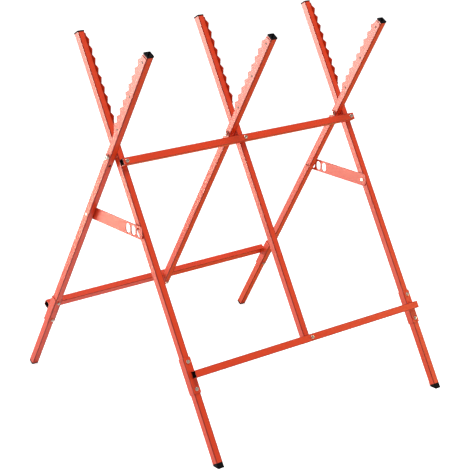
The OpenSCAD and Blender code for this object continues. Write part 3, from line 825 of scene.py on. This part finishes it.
# %% Set the thread ridges
NUT_H = 4.5 * MM
NUT_FACE = TUBE_W / 2 + NUT_H
PIVOT_PLAY = 0.3 * MM
PIVOT_WASHER_T = 1.6 * MM
PIVOT_NUT_H = 6.5 * MM
PIVOT_NUT_FACE = LEG_X + TUBE_W / 2 + PIVOT_PLAY + PIVOT_WASHER_T + PIVOT_NUT_H
TOP_RAIL_DROP = 26 * MM
LOW_RAIL_DROP = 605.5 * MM
SLEEVE_BOLT_PITCH = 73 * MM
SLEEVE_BOLT_DROPS = (LOW_RAIL_DROP - SLEEVE_BOLT_PITCH / 2, LOW_RAIL_DROP + SLEEVE_BOLT_PITCH / 2)
ALONG_Y = Matrix.Rotation(math.radians(-90), 4, "X")
AGAINST_X = Matrix.Rotation(math.radians(-90), 4, "Y")


def across_leg(side, place, drop):
    """On the inner face of a leg, pointing away from it."""
    return leg_frame(side, place) @ Matrix.Translation((0, NUT_FACE, -drop)) @ ALONG_Y


for side_name, side in SIDES.items():
    places = [across_leg(side, place, drop) for place in (LEFT, RIGHT) for drop in SLEEVE_BOLT_DROPS]
    places.append(across_leg(side, CENTRE, LOW_RAIL_DROP))
    if side == FRONT:
        places += [across_leg(FRONT, place, TOP_RAIL_DROP) for place in PLACES.values()]
    ends = set_copies(small_ridge, side_name + "_bolt_threads", places, BODY[side_name], zinc)
    print(ends.name, len(places), "ends")

pivot_line = ORIGIN + Vector((0, 0, PIVOT_HEIGHT))
places = [Matrix.Translation(pivot_line + Vector((place * FRAME_SPACING - PIVOT_NUT_FACE, 0, 0))) @ AGAINST_X
          for place in PLACES.values()]
pivot_ends = set_copies(pivot_ridge, "pivot_threads", places, BODY["front"], zinc)
print(pivot_ends.name, len(places), "ends")
for model in (small_ridge, pivot_ridge):
    bpy.data.objects.remove(model)

# %% [markdown]
# Caps and feet are the same kind of moulding: a square block with round corners outside the tube, and a
# hollow plug that grips the tube's inside. The block starts as a cube. Its upright edges are bevelled to the
# tube's corners, its outer face is either dished, on a cap, or cut level with the floor by a bisect, on a
# foot, and the rims are rounded.

# %% Model: caps and feet
PLUG_LEN = 15 * MM
PLUG_WALL = 2 * MM
PLUG_GAP = 0.15 * MM
CAP_T = 3.5 * MM
CAP_OVERHANG = 0.8 * MM
CAP_RIM = 3.1 * MM
CAP_DISH = 0.8 * MM
DISH_SLOPE = 0.35 * MM
RIM_ROUND = 0.45 * MM
CORNER_SEGMENTS = 5
RIM_SEGMENTS = 3
SHARP_ANGLE = math.radians(20)
NEARLY_LEVEL = 0.9
CLOSE = 0.01 * MM


def moulded_end(name, overhang, block_h, floor_at=None):
    """A block up from z = 0 that stands out past the tube by overhang, and a plug down from it. floor_at is
    where the floor meets the block's axis, or None for a cap."""
    block_w = TUBE_W + 2 * overhang
    bpy.ops.object.select_all(action="DESELECT")
    bpy.ops.mesh.primitive_cube_add(size=1, location=(0, 0, block_h / 2), scale=(block_w, block_w, block_h))
    bpy.ops.object.transform_apply(location=True, scale=True)
    piece = bpy.context.object
    bpy.ops.object.mode_set(mode="EDIT")
    pick(piece, "EDGE", lambda edge: abs(edge.verts[0].co.z - edge.verts[1].co.z) > CLOSE)
    bpy.ops.mesh.bevel(offset=TUBE_CORNER + overhang, segments=CORNER_SEGMENTS, affect="EDGES")
    pick(piece, "FACE", lambda face: face.normal.z < -NEARLY_LEVEL)
    bpy.ops.mesh.inset(thickness=overhang + TUBE_WALL + PLUG_GAP)
    bpy.ops.mesh.extrude_region_move(TRANSFORM_OT_translate={"value": (0, 0, -PLUG_LEN)})
    bpy.ops.mesh.inset(thickness=PLUG_WALL)
    bpy.ops.mesh.extrude_region_move(TRANSFORM_OT_translate={"value": (0, 0, PLUG_LEN)})
    if floor_at is None:
        outward = Vector((0, 0, 1))
        height = block_h
        pick(piece, "FACE", lambda face: face.normal.z > NEARLY_LEVEL
             and face.calc_center_median().z > block_h - CLOSE)
        bpy.ops.mesh.inset(thickness=CAP_RIM)
        bpy.ops.mesh.inset(thickness=DISH_SLOPE)
        bpy.ops.transform.translate(value=(0, 0, -CAP_DISH))
    else:
        outward = Vector((0, math.sin(LEAN), math.cos(LEAN)))
        height = floor_at * math.cos(LEAN)
        bpy.ops.mesh.select_all(action="SELECT")
        bpy.ops.mesh.bisect(plane_co=(0, 0, floor_at), plane_no=outward, use_fill=True, clear_outer=True)

    def on_rim(edge):
        level = all(vertex.co.dot(outward) > height - CLOSE for vertex in edge.verts)
        return level and edge.calc_face_angle(0) > SHARP_ANGLE

    pick(piece, "EDGE", on_rim)
    bpy.ops.mesh.bevel(offset=RIM_ROUND, segments=RIM_SEGMENTS, affect="EDGES")
    return finish_shape(name)


cap_model = moulded_end("cap_model", CAP_OVERHANG, CAP_T)
print(describe(cap_model))

# %% [markdown]
# The caps close the six upper arms. A front foot is a wedge, level with the floor. A rear foot is a plain
# square plug that stands on its lower edge, worn to a narrow strip. Where each tube ends follows from the
# height of the pivots.

# %% Set the caps and feet
ARM_LENGTH = 345 * MM
TUBE_TOP = ARM_LENGTH - CAP_T
FOOT_END_IN = (PIVOT_HEIGHT - TUBE_W / 2 * math.sin(LEAN)) / math.cos(LEAN)
FLOOR_DROP = PIVOT_HEIGHT / math.cos(LEAN)
FRONT_FOOT_H = 4 * MM
FRONT_FOOT_BLOCK = FRONT_FOOT_H + 2 * TUBE_W
REAR_FOOT_T = 5.5 * MM
REAR_FOOT_FLAT = 1 * MM
UPSIDE_DOWN = Matrix.Rotation(math.pi, 4, "Y")

foot_end = {"front": FOOT_END_IN - FRONT_FOOT_H,
            "rear": FOOT_END_IN + REAR_FOOT_FLAT / math.cos(LEAN) - REAR_FOOT_T}
foot_block = {"front": FRONT_FOOT_BLOCK, "rear": REAR_FOOT_T}
for side_name, side in SIDES.items():
    body = BODY[side_name]
    for place_name, place in PLACES.items():
        at_top = leg_frame(side, place) @ Matrix.Translation((0, 0, TUBE_TOP))
        cap = set_copies(cap_model, f"{side_name}_cap_{place_name}", [at_top], body, plastic)
        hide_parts(f"{side_name}_tip_cap_{place_name}")
    drop = foot_end[side_name]
    foot_model = moulded_end(side_name + "_foot_model", 0, foot_block[side_name], FLOOR_DROP - drop)
    for place_name in ("left", "right"):
        under = leg_frame(side, PLACES[place_name]) @ Matrix.Translation((0, 0, -drop)) @ UPSIDE_DOWN
        foot = set_copies(foot_model, f"{side_name}_foot_block_{place_name}", [under], body, plastic)
        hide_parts(f"{side_name}_foot_{place_name}")
    lowest = min(vertex.co.z for vertex in foot.data.vertices)
    print(side_name, "caps and feet set; foot stands at z =", round(lowest / MM, 3), "mm")
    bpy.data.objects.remove(foot_model)
bpy.data.objects.remove(cap_model)

# %% [markdown]
# The plain Standard view keeps every colour as written.

# %% View settings and the end
scene.view_settings.view_transform = "Standard"
